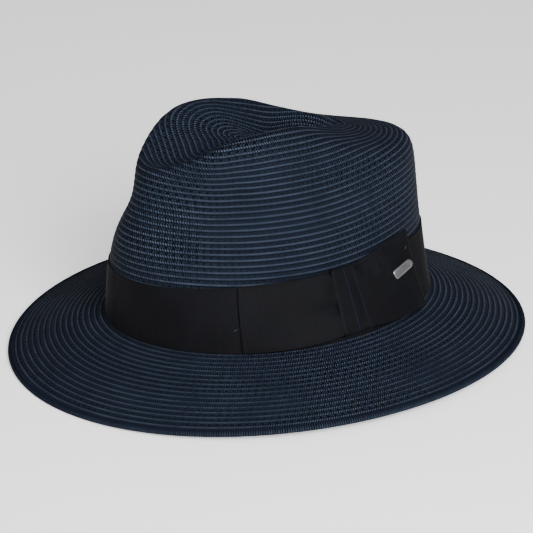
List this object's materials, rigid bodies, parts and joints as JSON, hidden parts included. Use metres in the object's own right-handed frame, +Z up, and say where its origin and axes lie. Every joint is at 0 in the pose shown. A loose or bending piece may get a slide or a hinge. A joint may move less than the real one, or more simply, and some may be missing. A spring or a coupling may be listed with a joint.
{
  "type": "fedora hat",
  "caption": "Braided fedora with a teardrop dent, side pinches, a turned-down brim, a ribbon with a flat side bow and a bare metal plate.",
  "frame": {"origin": "centre of the bounding box's underside, on the plane that the brim's edge stands on", "axes": "-Y is the front of the hat, +X the wearer's left, where the bow is, +Z up"},
  "size_m": [0.2982, 0.3262, 0.145],
  "materials": {
    "braid": "sewn rows of dark navy paper braid, matte with a faint sheen",
    "nylon": "clear drawn nylon line",
    "sleeve": "plain crimped tube",
    "sweat_cloth": "dark woven cotton twill",
    "grosgrain": "black ribbed ribbon, satin",
    "plate_metal": "bare brushed metal, soft edges",
    "thread": "black sewing thread"
  },
  "bodies": {
    "root": {"crown": "braid", "brim": "braid", "edge_braid": "braid", "edge_wire": "nylon", "wire_sleeve": "sleeve", "sweatband": "sweat_cloth", "sweatband_tape": "grosgrain", "hatband": "grosgrain", "bow_backing": "grosgrain", "bow_loop": "grosgrain", "bow_tail": "grosgrain", "bow_knot": "grosgrain", "badge_plate": "plate_metal", "badge_prongs": "plate_metal", "tack_stitches": "thread"}
  },
  "joints": []
}
